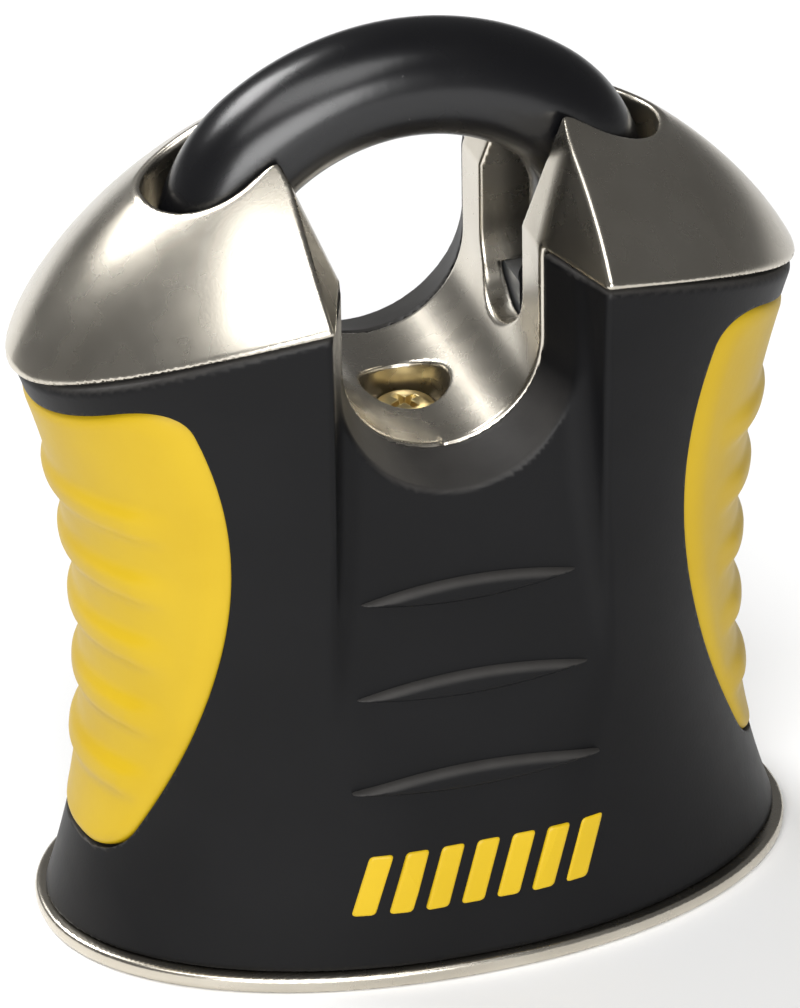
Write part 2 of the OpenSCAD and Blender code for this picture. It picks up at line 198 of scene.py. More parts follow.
def settle(form: Form, points: Array, cell: float) -> Array:
    """Moves points onto the form's surface.

    Args:
        form: the form.
        points: places near the surface.
        cell: size of the cells that they came from.

    Returns:
        The moved points.
    """
    for _ in range(SETTLE_STEPS):
        slope = slopes(form, points, SETTLE_REACH)
        size = np.maximum((slope ** 2).sum(1), LEAST_SLOPE)
        shift = -form(*points.T)[:, None] * slope / size[:, None]
        reach = np.linalg.norm(shift, axis=1)
        points = points + shift * np.minimum(1.0, cell / 2 / np.maximum(reach, LEAST_LENGTH))[:, None]
    return points


def plain_mesh(name: str, points: Array, faces: Sequence[Sequence[int]]) -> bpy.types.Object:
    """Makes a mesh object from points in mm.

    Args:
        name: the object's name.
        points: places, in mm.
        faces: corners of each face.

    Returns:
        The object, linked to the scene.
    """
    mesh = bpy.data.meshes.new(name)
    mesh.from_pydata((np.asarray(points) * MM).tolist(), [], [list(map(int, f)) for f in faces])
    mesh.update()
    made = bpy.data.objects.new(name, mesh)
    bpy.context.scene.collection.objects.link(made)
    return made


def carve(name: str, form: Form, space: Space, cell: float) -> bpy.types.Object:
    """Turns a form into a smooth mesh object whose shading follows the form itself.

    Args:
        name: the object's name.
        form: the form.
        space: lowest and highest corner of the space searched, in mm.
        cell: size of a cell, in mm.

    Returns:
        The object.
    """
    points, quads = surface_net(form, space, cell)
    points = settle(form, points, cell)
    made = plain_mesh(name, points, quads)
    made.data.shade_smooth()
    normals = slopes(form, points, SHADING_REACH)
    normals /= np.maximum(np.linalg.norm(normals, axis=1), LEAST_RISE)[:, None]
    made.data.normals_split_custom_set_from_vertices(normals.tolist())
    LOG.info("%s: %d points, %d quads", name, len(points), len(quads))
    return made


def freeze(piece: bpy.types.Object) -> None:
    """Keeps what a piece's modifiers make as its own plain mesh.

    Args:
        piece: the object.
    """
    graph = bpy.context.evaluated_depsgraph_get()
    done = bpy.data.meshes.new_from_object(piece.evaluated_get(graph))
    piece.modifiers.clear()
    old = piece.data
    piece.data = done
    bpy.data.meshes.remove(old)


def cut(piece: bpy.types.Object, tool: bpy.types.Object) -> None:
    """Takes one solid away from another for good, and deletes the tool.

    Args:
        piece: what is cut.
        tool: what cuts it.
    """
    change = piece.modifiers.new("cut", "BOOLEAN")
    change.operation = "DIFFERENCE"
    change.solver = "EXACT"
    change.object = tool
    freeze(piece)
    bpy.data.objects.remove(tool)


def block_between(name: str, low: Vector, high: Vector) -> bpy.types.Object:
    """Makes an upright block.

    Args:
        name: the object's name.
        low: one corner, in mm.
        high: the opposite corner.

    Returns:
        The block.
    """
    a = [min(p, q) for p, q in zip(low, high)]
    b = [max(p, q) for p, q in zip(low, high)]
    points = [(x, y, z) for z in (a[2], b[2]) for y in (a[1], b[1]) for x in (a[0], b[0])]
    faces = [[0, 2, 3, 1], [4, 5, 7, 6], [0, 1, 5, 4], [2, 6, 7, 3], [0, 4, 6, 2], [1, 3, 7, 5]]
    return plain_mesh(name, np.array(points), faces)


# ----- Shader maths and finishes -----

Number = Union[int, float]
FEW_LAYERS = 2.0
SOME_LAYERS = 3.0
MANY_LAYERS = 4.0


class Signal:
    """A number that varies over a surface, as a node's output, with ordinary arithmetic."""

    def __init__(self, tree: "NodeBench", socket: bpy.types.NodeSocket) -> None:
        """Keeps the tree and the socket."""
        self.tree = tree
        self.socket = socket

    def _math(self, operation: str, *values: Union["Signal", Number]) -> "Signal":
        """Adds one Math node with its inputs in order, and gives its output."""
        node = self.tree.add("ShaderNodeMath", {"operation": operation}, dict(enumerate(values)))
        return Signal(self.tree, node.outputs[0])

    def __add__(self, other: Union["Signal", Number]) -> "Signal":
        """Sum."""
        return self._math("ADD", self, other)

    __radd__ = __add__

    def __sub__(self, other: Union["Signal", Number]) -> "Signal":
        """Difference."""
        return self._math("SUBTRACT", self, other)

    def __rsub__(self, other: Union["Signal", Number]) -> "Signal":
        """Difference, the other way round."""
        return self._math("SUBTRACT", other, self)

    def __mul__(self, other: Union["Signal", Number]) -> "Signal":
        """Product."""
        return self._math("MULTIPLY", self, other)

    __rmul__ = __mul__

    def between(self, low: Number, high: Number) -> "Signal":
        """Smooth step from 0 at low to 1 at high.

        Args:
            low: where the step begins.
            high: where the step ends.

        Returns:
            The stepped number.
        """
        settings = {"interpolation_type": "SMOOTHSTEP"}
        node = self.tree.add("ShaderNodeMapRange", settings, {0: self, 1: low, 2: high, 3: 0.0, 4: 1.0})
        return Signal(self.tree, node.outputs[0])


class NodeBench:
    """One material's node tree, with a method for every node it needs."""

    def __init__(self, name: str) -> None:
        """Makes an empty node material of that name."""
        self.material = bpy.data.materials.new(name)
        self.material.use_nodes = True
        self.nodes = self.material.node_tree.nodes
        self.links = self.material.node_tree.links
        self.nodes.clear()
        place = self.add("ShaderNodeTexCoord", {}, {})
        self.place = place.outputs["Object"]

    def add(self, kind: str, settings: dict[str, Any], inputs: dict[Any, Any]) -> bpy.types.Node:
        """Adds a node.

        Args:
            kind: the node's type.
            settings: attributes, set before the inputs.
            inputs: by socket name or index, each a value, a Signal or a socket.

        Returns:
            The node.
        """
        node = self.nodes.new(kind)
        for key, value in settings.items():
            setattr(node, key, value)
        for key, value in inputs.items():
            socket = node.inputs[key]
            if isinstance(value, Signal):
                self.links.new(value.socket, socket)
            elif isinstance(value, bpy.types.NodeSocket):
                self.links.new(value, socket)
            else:
                socket.default_value = value
        return node

    def noise(self, scale: float, layers: float) -> Signal:
        """Cloudy noise around 0.5 over the object's own coordinates, so many clouds a metre."""
        inputs = {"Vector": self.place, "Scale": scale, "Detail": layers}
        return Signal(self, self.add("ShaderNodeTexNoise", {}, inputs).outputs[0])

    def specks(self, scale: float, size: float) -> Signal:
        """Sparse round specks: 1 in a speck, 0 elsewhere; their size is a share of a cell."""
        node = self.add("ShaderNodeTexVoronoi", {}, {"Vector": self.place, "Scale": scale})
        return 1.0 - Signal(self, node.outputs["Distance"]).between(size / 2, size)

    def stored(self, name: str) -> Signal:
        """A number that the piece stores at each of its points; 0 where it stores none."""
        node = self.add("ShaderNodeAttribute", {"attribute_name": name}, {})
        return Signal(self, node.outputs["Fac"])

    def tint(self, share: Signal, first: Any, second: Any) -> bpy.types.NodeSocket:
        """Mixes two colours.

        Args:
            share: 0 for the first, 1 for the second.
            first: red, green and blue, or a colour socket.
            second: the same.

        Returns:
            The mixed colour.
        """
        inputs = {"Factor": share, 6: self.paint(first), 7: self.paint(second)}
        return self.add("ShaderNodeMix", {"data_type": "RGBA"}, inputs).outputs[2]

    @staticmethod
    def paint(colour: Any) -> Any:
        """A colour ready for a socket: three numbers gain an alpha, a socket stays as it is."""
        return colour if isinstance(colour, bpy.types.NodeSocket) else (*colour, 1.0)

    def bump(self, relief: Signal, depth: float) -> bpy.types.NodeSocket:
        """Turns a relief of 0 to 1, so many metres deep, into a normal."""
        return self.add("ShaderNodeBump", {}, {"Height": relief, "Distance": depth}).outputs[0]

    def finish(self, inputs: dict[str, Any]) -> bpy.types.Material:
        """Adds the surface shader and the output.

        Args:
            inputs: the shader's inputs.

        Returns:
            The finished material.
        """
        shader = self.add("ShaderNodeBsdfPrincipled", {}, inputs)
        self.add("ShaderNodeOutputMaterial", {}, {"Surface": shader.outputs[0]})
        return self.material


@dataclass(frozen=True)
class MouldedPlastic:
    """Matt moulded plastic or rubber with a fine spark-eroded grain, and a patchy painted top light: paler
    colour on faces that face up.
    """

    name: str
    dark: Triple
    light: Triple
    roughness: float
    grain_depth: float
    grain_scale: float = 2600.0
    sheen: float = 0.3
    # Colour, patch size and amount of the painted top light on up-facing faces.
    top_light_tint: Triple = (0.040, 0.038, 0.036)
    top_light_patch_scale: float = 240.0
    top_light_amount: float = 0.6
    cloud_scale: float = 60.0
    cloud_edges: tuple[float, float] = (0.35, 0.7)
    gloss_scale: float = 420.0
    gloss_spread: float = 0.08

    def build(self) -> bpy.types.Material:
        """Makes the material.

        Returns:
            The material.
        """
        bench = NodeBench(self.name)
        cloud = bench.noise(self.cloud_scale, MANY_LAYERS).between(*self.cloud_edges)
        grain = bench.noise(self.grain_scale, FEW_LAYERS)
        gloss = bench.noise(self.gloss_scale, SOME_LAYERS) * self.gloss_spread
        # Painted top light: pale colour mixed in on up-facing faces, in patches, standing in for light from
        # above.
        patches = bench.noise(self.top_light_patch_scale, SOME_LAYERS) * self.top_light_amount + self.top_light_amount
        top_light = bench.stored(TOP_LIGHT_ATTRIBUTE) * patches
        return bench.finish(
            {
                "Base Color": bench.tint(top_light, bench.tint(cloud, self.dark, self.light), self.top_light_tint),
                "Roughness": gloss + (self.roughness - self.gloss_spread / 2),
                "Specular IOR Level": self.sheen,
                "Normal": bench.bump(grain, self.grain_depth),
            }
        )


@dataclass(frozen=True)
class SatinMetal:
    """Plated or machined metal with uneven gloss, a fine grain and sparse pits."""

    name: str
    dark: Triple
    light: Triple
    roughness: float
    spread: float = 0.10
    grain_depth: float = 0.000004
    grain_scale: float = 3200.0
    pit_scale: float = 160.0
    pit_size: float = 0.10
    pit_depth: float = 1.5
    cloud_scale: float = 75.0
    cloud_edges: tuple[float, float] = (0.3, 0.72)
    gloss_scale: float = 240.0

    def build(self) -> bpy.types.Material:
        """Makes the material.

        Returns:
            The material.
        """
        bench = NodeBench(self.name)
        cloud = bench.noise(self.cloud_scale, MANY_LAYERS).between(*self.cloud_edges)
        gloss = bench.noise(self.gloss_scale, MANY_LAYERS) * self.spread
        pits = bench.specks(self.pit_scale, self.pit_size)
        grain = bench.noise(self.grain_scale, FEW_LAYERS) - pits * self.pit_depth
        return bench.finish(
            {
                "Base Color": bench.tint(cloud, self.dark, self.light),
                "Metallic": 1.0,
                "Roughness": gloss + (self.roughness - self.spread / 2),
                "Normal": bench.bump(grain, self.grain_depth),
            }
        )


@dataclass(frozen=True)
class BlackCoat:
    """Semi-gloss black coat over hardened steel, with a faint orange peel and a little dust."""

    name: str = "black_coat"
    colour: Triple = (0.0035, 0.0035, 0.0042)
    dust: Triple = (0.05, 0.05, 0.05)
    dust_scale: float = 330.0
    dust_size: float = 0.05
    patch_scale: float = 50.0
    patch_edges: tuple[float, float] = (0.5, 0.6)
    roughness: float = 0.26
    cloud_scale: float = 90.0
    cloud_edges: tuple[float, float] = (0.4, 0.8)
    gloss_spread: float = 0.06
    peel_scale: float = 700.0
    peel_depth: float = 0.000012
    ior: float = 1.5

    def build(self) -> bpy.types.Material:
        """Makes the material.

        Returns:
            The material.
        """
        bench = NodeBench(self.name)
        cloud = bench.noise(self.cloud_scale, MANY_LAYERS).between(*self.cloud_edges)
        patches = bench.noise(self.patch_scale, FEW_LAYERS).between(*self.patch_edges)
        dust = bench.specks(self.dust_scale, self.dust_size) * patches
        peel = bench.noise(self.peel_scale, FEW_LAYERS)
        return bench.finish(
            {
                "Base Color": bench.tint(dust, self.colour, self.dust),
                "Roughness": cloud * self.gloss_spread + self.roughness,
                "IOR": self.ior,
                "Normal": bench.bump(peel, self.peel_depth),
            }
        )


class Finish(Enum):
    """Every finish on the padlock."""

    COAT = BlackCoat()
    NICKEL = SatinMetal("satin_nickel", (0.54, 0.50, 0.425), (0.62, 0.58, 0.50), 0.27)
    JACKET = MouldedPlastic(
        "jacket_plastic", (0.0030, 0.0030, 0.0034), (0.0040, 0.0040, 0.0045), 0.46, 0.000010, sheen=0.15
    )
    GRIP = MouldedPlastic("grip_rubber", (0.44, 0.290, 0.004), (0.47, 0.315, 0.006), 0.46, 0.000012, 1800.0)
    INLAY = MouldedPlastic("inlay_paint", (0.50, 0.33, 0.005), (0.54, 0.36, 0.008), 0.36, 0.000006)
    STEEL = SatinMetal("body_steel", (0.20, 0.20, 0.21), (0.30, 0.30, 0.31), 0.42, 0.14)
    HARD_STEEL = SatinMetal("hard_steel", (0.16, 0.16, 0.17), (0.24, 0.24, 0.25), 0.36)
    SPRING = SatinMetal("spring_wire", (0.45, 0.45, 0.47), (0.55, 0.55, 0.57), 0.30)
    SCREW = SatinMetal("plated_screw", (0.50, 0.48, 0.44), (0.60, 0.58, 0.54), 0.30)
    ZINC = SatinMetal("yellow_zinc", (0.55, 0.44, 0.20), (0.68, 0.56, 0.30), 0.34, 0.16)
    BRASS = SatinMetal("brass", (0.58, 0.42, 0.16), (0.68, 0.50, 0.22), 0.34)
    PIN_BRASS = SatinMetal("pin_brass", (0.62, 0.48, 0.20), (0.72, 0.56, 0.27), 0.28)
    BALL = SatinMetal("ball_steel", (0.62, 0.63, 0.65), (0.70, 0.71, 0.73), 0.12, 0.04)

    def material(self) -> bpy.types.Material:
        """The finish's material, made once."""
        return bpy.data.materials.get(self.value.name) or self.value.build()


# Painted top light begins on faces turned up past this and reaches full over this span.
TOP_LIGHT_FROM = 0.22
TOP_LIGHT_SPAN = 0.38


def paint_top_light(piece: bpy.types.Object) -> None:
    """Stores at each point how much painted top light it gets: the more the face turns up, the more pale
    colour is painted on, standing in for light from above.

    Args:
        piece: the object.
    """
    data = piece.data
    normals = np.empty(len(data.vertices) * 3)
    data.vertex_normals.foreach_get("vector", normals)
    share = np.clip((normals.reshape(-1, 3)[:, 2] - TOP_LIGHT_FROM) / TOP_LIGHT_SPAN, 0.0, 1.0)
    data.attributes.new(TOP_LIGHT_ATTRIBUTE, "FLOAT", "POINT").data.foreach_set("value", share)


def fit_out(piece: bpy.types.Object, finish: Finish, body: str, node: str) -> None:
    """Gives a piece its one material and its body, and hides the CAD node that it stands for.

    Args:
        piece: the object.
        finish: its finish.
        body: the body that it moves with.
        node: the CAD node that it replaces.
    """
    piece.data.materials.clear()
    piece.data.materials.append(finish.material())
    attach(piece, body)
    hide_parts(node)
    LOG.info("installed %s on %s in place of %s", piece.name, body, node)


# ----- Body outline shared by the jacket, the grips and the shroud -----


@dataclass
class BodyOutline:
    """The flared oval body: its half sizes at every height."""

    waist_w: float = 36.2
    waist_d: float = 24.6
    waist_z: float = 31.0
    foot_w: float = 5.9
    foot_d: float = 1.0
    shoulder_w: float = 9.7
    shoulder_z: float = 76.0
    shoulder_power: float = 2.1
    squareness: float = 2.0
    skirt_r: float = 84.0
    skirt_z: float = 81.0
    plate_t: float = 1.9

    def form(self, x: Array, y: Array, z: Array) -> Array:
        """Distance from the body's side wall.

        Args:
            x: across.
            y: depth.
            z: height.

        Returns:
            Signed distance, in mm.
        """
        low = np.maximum(self.waist_z - z, 0.0) / self.waist_z
        high = np.maximum(z - self.waist_z, 0.0) / (self.shoulder_z - self.waist_z)
        half_w = self.waist_w + self.foot_w * low ** 2 + self.shoulder_w * high ** self.shoulder_power
        half_d = self.waist_d + self.foot_d * low ** 2
        return oval(x, y, half_w, half_d, self.squareness)

    def above_skirt(self, x: Array, z: Array) -> Array:
        """Height over the curve where jacket and caps meet, positive above it."""
        return np.hypot(x, z - (self.skirt_z - self.skirt_r)) - self.skirt_r


@dataclass
class GripOutline:
    """The shield-shaped outline of a side grip."""

    side_r: float = 107.5
    side_y: float = 18.3
    side_z: float = 57.5
    foot_r: float = 6.5
    foot_y: float = 3.88
    foot_z: float = 18.3
    top_gap: float = 3.6
    corner: float = 4.5

    def form(self, x: Array, y: Array, z: Array, body: BodyOutline) -> Array:
        """Distance from the outline, seen along X.

        Args:
            x: across.
            y: depth.
            z: height.
            body: the body that the grip is let into.

        Returns:
            Signed distance, negative inside the outline.
        """
        deep = np.abs(y)
        side = np.hypot(deep + self.side_r - self.side_y, z - self.side_z) - self.side_r
        foot = np.hypot(np.maximum(deep - self.foot_y, 0.0), np.maximum(self.foot_z - z, 0.0)) - self.foot_r
        centre_y = self.side_y - self.side_r
        rise = (z - self.side_z) * (self.foot_y - centre_y)
        below = rise + (deep - centre_y) * (self.side_z - self.foot_z) < 0
        outline = np.where(below, foot, side)
        return soft_both(outline, body.above_skirt(x, z) + self.top_gap, self.corner)


@dataclass
class Saddle:
    """The round-bottomed gap under the bow, and the trough of nickel that lines it."""

    r: float = 10.95
    z: float = 69.8
    half_d: float = 13.2
    trough_w: float = 13.1
    trough_z: float = 51.6

    def reach(self, x: Array, z: Array) -> Array:
        """Distance from the gap's middle: round below its centre, straight up above it."""
        return np.where(z < self.z, np.hypot(x, z - self.z), np.abs(x))


# ----- Jacket -----


@dataclass
class Jacket:
    """Moulded black jacket with the sunk panel, pillars, saddle bevel and ribs."""

    body: BodyOutline
    grip: GripOutline
    saddle: Saddle
    cell: float = 0.5
    space: Space = ((-45, -28, 1), (45, 28, 83))
    panel_y: float = 25.7
    panel_lean: float = 0.1
    panel_round: float = 2.6
    wall_round: float = 0.7
    crease_x: float = 15.2
    crease_y: float = 23.6
    crease_slope: float = 0.93
    crease_spread: float = 0.0033
    crease_top: float = 60.0
    wall_rate: float = 0.38
    mouth_room: float = 0.05
    mouth_slope: float = 0.95
    mouth_round: float = 0.5
    mouth_rise: tuple[float, float] = (60.0, 78.0)
    bevel_rate: float = 0.29
    trough_room: float = 0.15
    skirt_round: float = 0.9
    foot_room: float = 0.05
    foot_round: float = 0.5
    core_w: float = 34.15
    core_d: float = 18.05
    core_power: float = 2.6
    core_steps: int = 96
    core_low: float = -5.0
    core_high: float = 90.0
    lip_y: float = 40.0
    lip_z: float = 100.0
    pocket: float = 1.4
    pocket_reach: float = 1.5
    pocket_round: float = 0.5
    pocket_x: tuple[float, float] = (20.0, 48.0)
    pocket_y: float = 24.0
    pocket_z: tuple[float, float] = (9.0, 82.0)
    seam: float = 0.25
    ribs: int = 3
    rib_z: float = 45.6
    rib_pitch: float = 10.9
    rib_half: float = 12.2
    rib_tall: float = 1.35
    rib_out: float = 1.0
    rib_root: float = 0.5
    rib_tip: float = 0.2
    rib_round: float = 1.1
    rib_cell: float = 0.2
    rib_space: Space = ((-15.0, -26.0, -2.0), (15.0, -18.0, 2.0))

    def panel(self, z: Array) -> Array:
        """Depth of the panel's face at a height."""
        return self.panel_y - self.panel_lean * z

    def rib(self, number: int) -> Form:
        """Distance from one lens-shaped rib.

        Args:
            number: 0 is the highest.

        Returns:
            Its form.
        """
        half, middle, tall = self.rib_half + number, self.rib_z - self.rib_pitch * number, self.rib_tall
        arc = (half * half + tall * tall) / (2 * tall)

        def form(x: Array, y: Array, z: Array) -> Array:
            """Distance from the rib.

            Args:
                x: across.
                y: depth.
                z: height.

            Returns:
                Signed distance, in mm.
            """
            upper = np.hypot(x, z - middle + arc - tall) - arc
            lower = np.hypot(x, z - middle - arc + tall) - arc
            lens = soft_both(upper, lower, self.rib_tip)
            face = -y - self.panel(z)
            shape = soft_both(lens, face - self.rib_out, self.rib_round)
            return np.maximum(shape, -face - self.rib_root)

        return form

    def pocket_room(self, x: Array, y: Array, z: Array) -> Array:
        """Distance from the room that a grip's pocket takes, reaching out past the wall.

        Args:
            x: across.
            y: depth.
            z: height.

        Returns:
            Signed distance, in mm.
        """
        wall = self.body.form(x, y, z)
        outline = self.grip.form(x, y, z, self.body) - self.seam
        room = np.maximum(outline, -(wall + self.pocket))
        return soft_both(room, wall - self.pocket_reach, self.pocket_round)

    def sink_pockets(self, piece: bpy.types.Object) -> None:
        """Cuts both grip pockets out of the jacket.

        Args:
            piece: the jacket.
        """
        for side in (-1, 1):
            low, high = sorted(side * x for x in self.pocket_x)
            space = ((low, -self.pocket_y, self.pocket_z[0]), (high, self.pocket_y, self.pocket_z[1]))
            cut(piece, carve("pocket_room", self.pocket_room, space, self.cell))

    def form(self, x: Array, y: Array, z: Array) -> Array:
        """Distance from the jacket, its inner room left solid.

        Args:
            x: across.
            y: depth.
            z: height.

        Returns:
            Signed distance, in mm.
        """
        deep, wide = np.abs(y), np.abs(x)
        wall = self.body.form(x, y, z)
        lean = 1.0 / math.hypot(1.0, self.panel_lean)
        crease = self.crease_x + self.crease_spread * np.maximum(self.crease_top - z, 0.0) ** 2
        side = (wide - crease - self.wall_rate * (deep - self.crease_y)) * self.crease_slope
        room = soft_both((self.panel(z) - deep) * lean, side, self.panel_round)
        shape = soft_both(wall, -room, self.wall_round)
        rate = self.bevel_rate + (self.wall_rate - self.bevel_rate) * ramp(z, *self.mouth_rise)
        out = rate * np.maximum(deep - self.saddle.half_d, 0.0)
        mouth = (self.saddle.reach(x, z) - self.saddle.r - self.mouth_room - out) * self.mouth_slope
        shape = soft_both(shape, -mouth, self.mouth_round)
        trough_x = wide - (self.saddle.trough_w + self.trough_room)
        trough_y = deep - (self.saddle.half_d + self.trough_room)
        shape = np.maximum(shape, -np.maximum(np.maximum(trough_x, trough_y), self.saddle.trough_z - z))
        shape = soft_both(shape, self.body.above_skirt(x, z) + self.seam, self.skirt_round)
        return soft_both(shape, self.body.plate_t + self.foot_room - z, self.foot_round)

    def hollow(self, piece: bpy.types.Object) -> None:
        """Cuts the room for the lock body out of the jacket, leaving the lips beside the saddle.

        Args:
            piece: the jacket.
        """
        steps = self.core_steps
        ring = []
        for i in range(steps):
            t = (i + 0.5) * 2 * math.pi / steps
            cos, sin = math.cos(t), math.sin(t)
            px = self.core_w * math.copysign(abs(cos) ** (2 / self.core_power), cos)
            py = self.core_d * math.copysign(abs(sin) ** (2 / self.core_power), sin)
            ring.append((px, py))
        points = [(*p, z) for z in (self.core_low, self.core_high) for p in ring]
        faces = [[i, (i + 1) % steps, steps + (i + 1) % steps, steps + i] for i in range(steps)]
        faces += [list(range(steps - 1, -1, -1)), list(range(steps, 2 * steps))]
        cutter = plain_mesh("jacket_room", np.array(points), faces)
        for side in (-1, 1):
            wide, near = self.saddle.trough_w, side * (self.saddle.half_d + self.trough_room)
            low = Vector((-wide, near, self.saddle.trough_z))
            cut(cutter, block_between("lip", low, Vector((wide, side * self.lip_y, self.lip_z))))
        cut(piece, cutter)

    def build(self) -> None:
        """Makes, cuts and installs the jacket and its ribs."""
        piece = carve("jacket_shell", self.form, self.space, self.cell)
        self.hollow(piece)
        self.sink_pockets(piece)
        self.dress(piece)
        for number in range(self.ribs):
            middle = self.rib_z - self.rib_pitch * number
            low, high = ((x, y, middle + z) for x, y, z in self.rib_space)
            self.dress(carve(f"panel_rib_{number + 1}", self.rib(number), (low, high), self.rib_cell))

    def dress(self, piece: bpy.types.Object) -> None:
        """Finishes and installs the jacket or one of its ribs."""
        # Paints pale top light onto the faces that face up.
        paint_top_light(piece)
        fit_out(piece, Finish.JACKET, "body", "jacket")


# ----- Grips -----


@dataclass
class Grip:
    """Yellow side grip with five finger ridges."""

    body: BodyOutline
    outline: GripOutline
    side: int
    cell: float = 0.4
    out: float = 0.3
    depth: float = 1.4
    ridge_out: float = 0.85
    ridge_z: float = 21.5
    ridge_pitch: float = 8.3
    ridge_half: float = 1.85
    ridges: int = 5
    ridge_lean: float = 0.12
    ridge_middle: float = 16.0
    ridge_ends: tuple[float, float] = (10.0, 14.0)
    edge_round: float = 1.5
    back_room: float = 0.02
    space_x: tuple[float, float] = (20.0, 46.0)
    space_y: float = 24.0
    space_z: tuple[float, float] = (10.0, 80.0)

    def ridge_relief(self, y: Array, z: Array) -> Array:
        """How far the ridges stand out of the grip.

        Args:
            y: depth.
            z: height.

        Returns:
            The relief, in mm.
        """
        relief = 0.0
        for i in range(self.ridges):
            away = (z - self.ridge_z - self.ridge_pitch * i) / self.ridge_half
            relief = relief + np.exp(-np.abs(away) ** 3)
        leaning = np.abs(y + self.ridge_lean * (z - self.ridge_z - self.ridge_middle))
        return self.ridge_out * relief * (1.0 - ramp(leaning, *self.ridge_ends))

    def form(self, x: Array, y: Array, z: Array) -> Array:
        """Distance from the grip.

        Args:
            x: across.
            y: depth.
            z: height.

        Returns:
            Signed distance, in mm.
        """
        wall = self.body.form(x, y, z)
        outer = wall - self.out - self.ridge_relief(y, z)
        edge = self.outline.form(x, y, z, self.body)
        shape = soft_both(outer, edge, self.edge_round)
        return np.maximum(shape, -(wall + self.depth - self.back_room))

    def build(self) -> None:
        """Makes and installs the grip."""
        word = "left" if self.side < 0 else "right"
        low, high = sorted(self.side * x for x in self.space_x)
        space = ((low, -self.space_y, self.space_z[0]), (high, self.space_y, self.space_z[1]))
        piece = carve(f"side_grip_{word}", self.form, space, self.cell)
        fit_out(piece, Finish.GRIP, "body", f"grip_{word}")


# ----- Shroud -----


@dataclass
class Shroud:
    """Nickel-plated casting: two caps and the saddle between them."""

    body: BodyOutline
    saddle: Saddle
    cell: float = 0.36
    space: Space = ((-46, -27, 51), (46, 27, 96))
    dome_w: float = 46.0
    dome_d: float = 37.2
    dome_z: float = 60.8
    dome_h: float = 38.3
    dome_power: float = 1.64
    dome_out: float = 0.3
    band_out: float = 0.7
    squareness: float = 1.7
    top_level: float = 0.985
    slope_step: float = 0.05
    cap_round: float = 0.8
    skirt_round: float = 0.9
    lean_z: float = 80.0
    lean_rate: float = 0.385
    gap_round: float = 0.6
    trough_top: float = 84.0
    core_w: float = 34.0
    core_d: float = 17.9
    core_power: float = 2.6
    core_top: float = 68.5
    core_under: float = 0.4
    leg_x: float = 20.84
    hole_r: float = 7.4
    hole_floor: float = 60.0
    hole_round: float = 1.3
    edge_round: float = 0.5
    screw_r: float = 4.8
    seat_z: float = 53.8
    shank_r: float = 2.3
    slot_d: float = 7.0
    slot_z: float = 72.5
    facet_at: Triple = (15.24, 24.74, 79.8)
    facet_turn: Triple = (-0.842, 0.325, 0.431)

    def dome_value(self, x: Array, y: Array, z: Array) -> Array:
        """Unscaled dome function: zero on the dome.

        Args:
            x: across.
            y: depth.
            z: height.

        Returns:
            Signed distance, in mm.
        """
        level = np.clip((z - self.dome_z) / self.dome_h, 0.0, self.top_level)
        half_w = self.dome_out + self.dome_w * (1.0 - level ** self.dome_power) ** (1.0 / self.dome_power)
        half_d = self.dome_out + self.dome_d * (1.0 - level ** 2)
        power = self.squareness
        return ((np.abs(x) / half_w) ** power + (np.abs(y) / half_d) ** power) ** (1.0 / power) - 1.0

    def dome(self, x: Array, y: Array, z: Array) -> Array:
        """Distance from the dome that the caps are cut from.

        Args:
            x: across.
            y: depth.
            z: height.

        Returns:
            Signed distance, in mm.
        """
        step = self.slope_step
        value = self.dome_value(x, y, z)
        dx = (self.dome_value(x + step, y, z) - value) / step
        dy = (self.dome_value(x, y + step, z) - value) / step
        dz = (self.dome_value(x, y, z + step) - value) / step
        return value / np.maximum(np.sqrt(dx * dx + dy * dy + dz * dz), LEAST_SLOPE)

    def form(self, x: Array, y: Array, z: Array) -> Array:
        """Distance from the casting.

        Args:
            x: across.
            y: depth.
            z: height.

        Returns:
            Signed distance, in mm.
        """
        deep, wide = np.abs(y), np.abs(x)
        saddle = self.saddle
        cap = soft_both(self.dome(x, y, z), self.body.form(x, y, z) - self.band_out, self.cap_round)
        cap = soft_both(cap, -self.body.above_skirt(x, z), self.skirt_round)
        neck = oval(x, y, self.core_w, self.core_d, self.core_power)
        neck = np.maximum(np.maximum(neck, self.core_top - z), z - self.body.skirt_z)
        neck = np.maximum(neck, -np.maximum(wide - saddle.trough_w, saddle.half_d - deep))
        neck = np.maximum(neck, self.dome(x, y, z) + self.core_under)
        trough = np.maximum(wide - saddle.trough_w, deep - saddle.half_d)
        trough = np.maximum(trough, np.maximum(saddle.trough_z - z, z - self.trough_top))
        shape = np.minimum(np.minimum(cap, neck), trough)
        facet_x, facet_y, facet_z = self.facet_at
        turn_x, turn_y, turn_z = self.facet_turn
        facet = (wide - facet_x) * turn_x + (deep - facet_y) * turn_y + (z - facet_z) * turn_z
        shape = soft_both(shape, facet, self.edge_round)
        gap = saddle.reach(x, z) - saddle.r - self.lean_rate * np.maximum(z - self.lean_z, 0.0)
        shape = soft_both(shape, -gap, self.gap_round)
        hole = np.maximum(np.hypot(wide - self.leg_x, y) - self.hole_r, self.hole_floor - z)
        shape = soft_both(shape, -hole, self.hole_round)
        slot = np.where(z < self.slot_z, np.hypot(y, z - self.slot_z), deep) - self.slot_d
        slot = np.maximum(slot, wide - self.leg_x)
        shape = soft_both(shape, -slot, self.edge_round)
        screw = np.maximum(np.hypot(x, y) - self.screw_r, self.seat_z - z)
        shape = soft_both(shape, -screw, self.edge_round)
        return np.maximum(shape, self.shank_r - np.hypot(x, y))

    def build(self) -> None:
        """Makes and installs the casting."""
        piece = carve("shroud_casting", self.form, self.space, self.cell)
        fit_out(piece, Finish.NICKEL, "body", "shroud")


# ----- Shackle -----


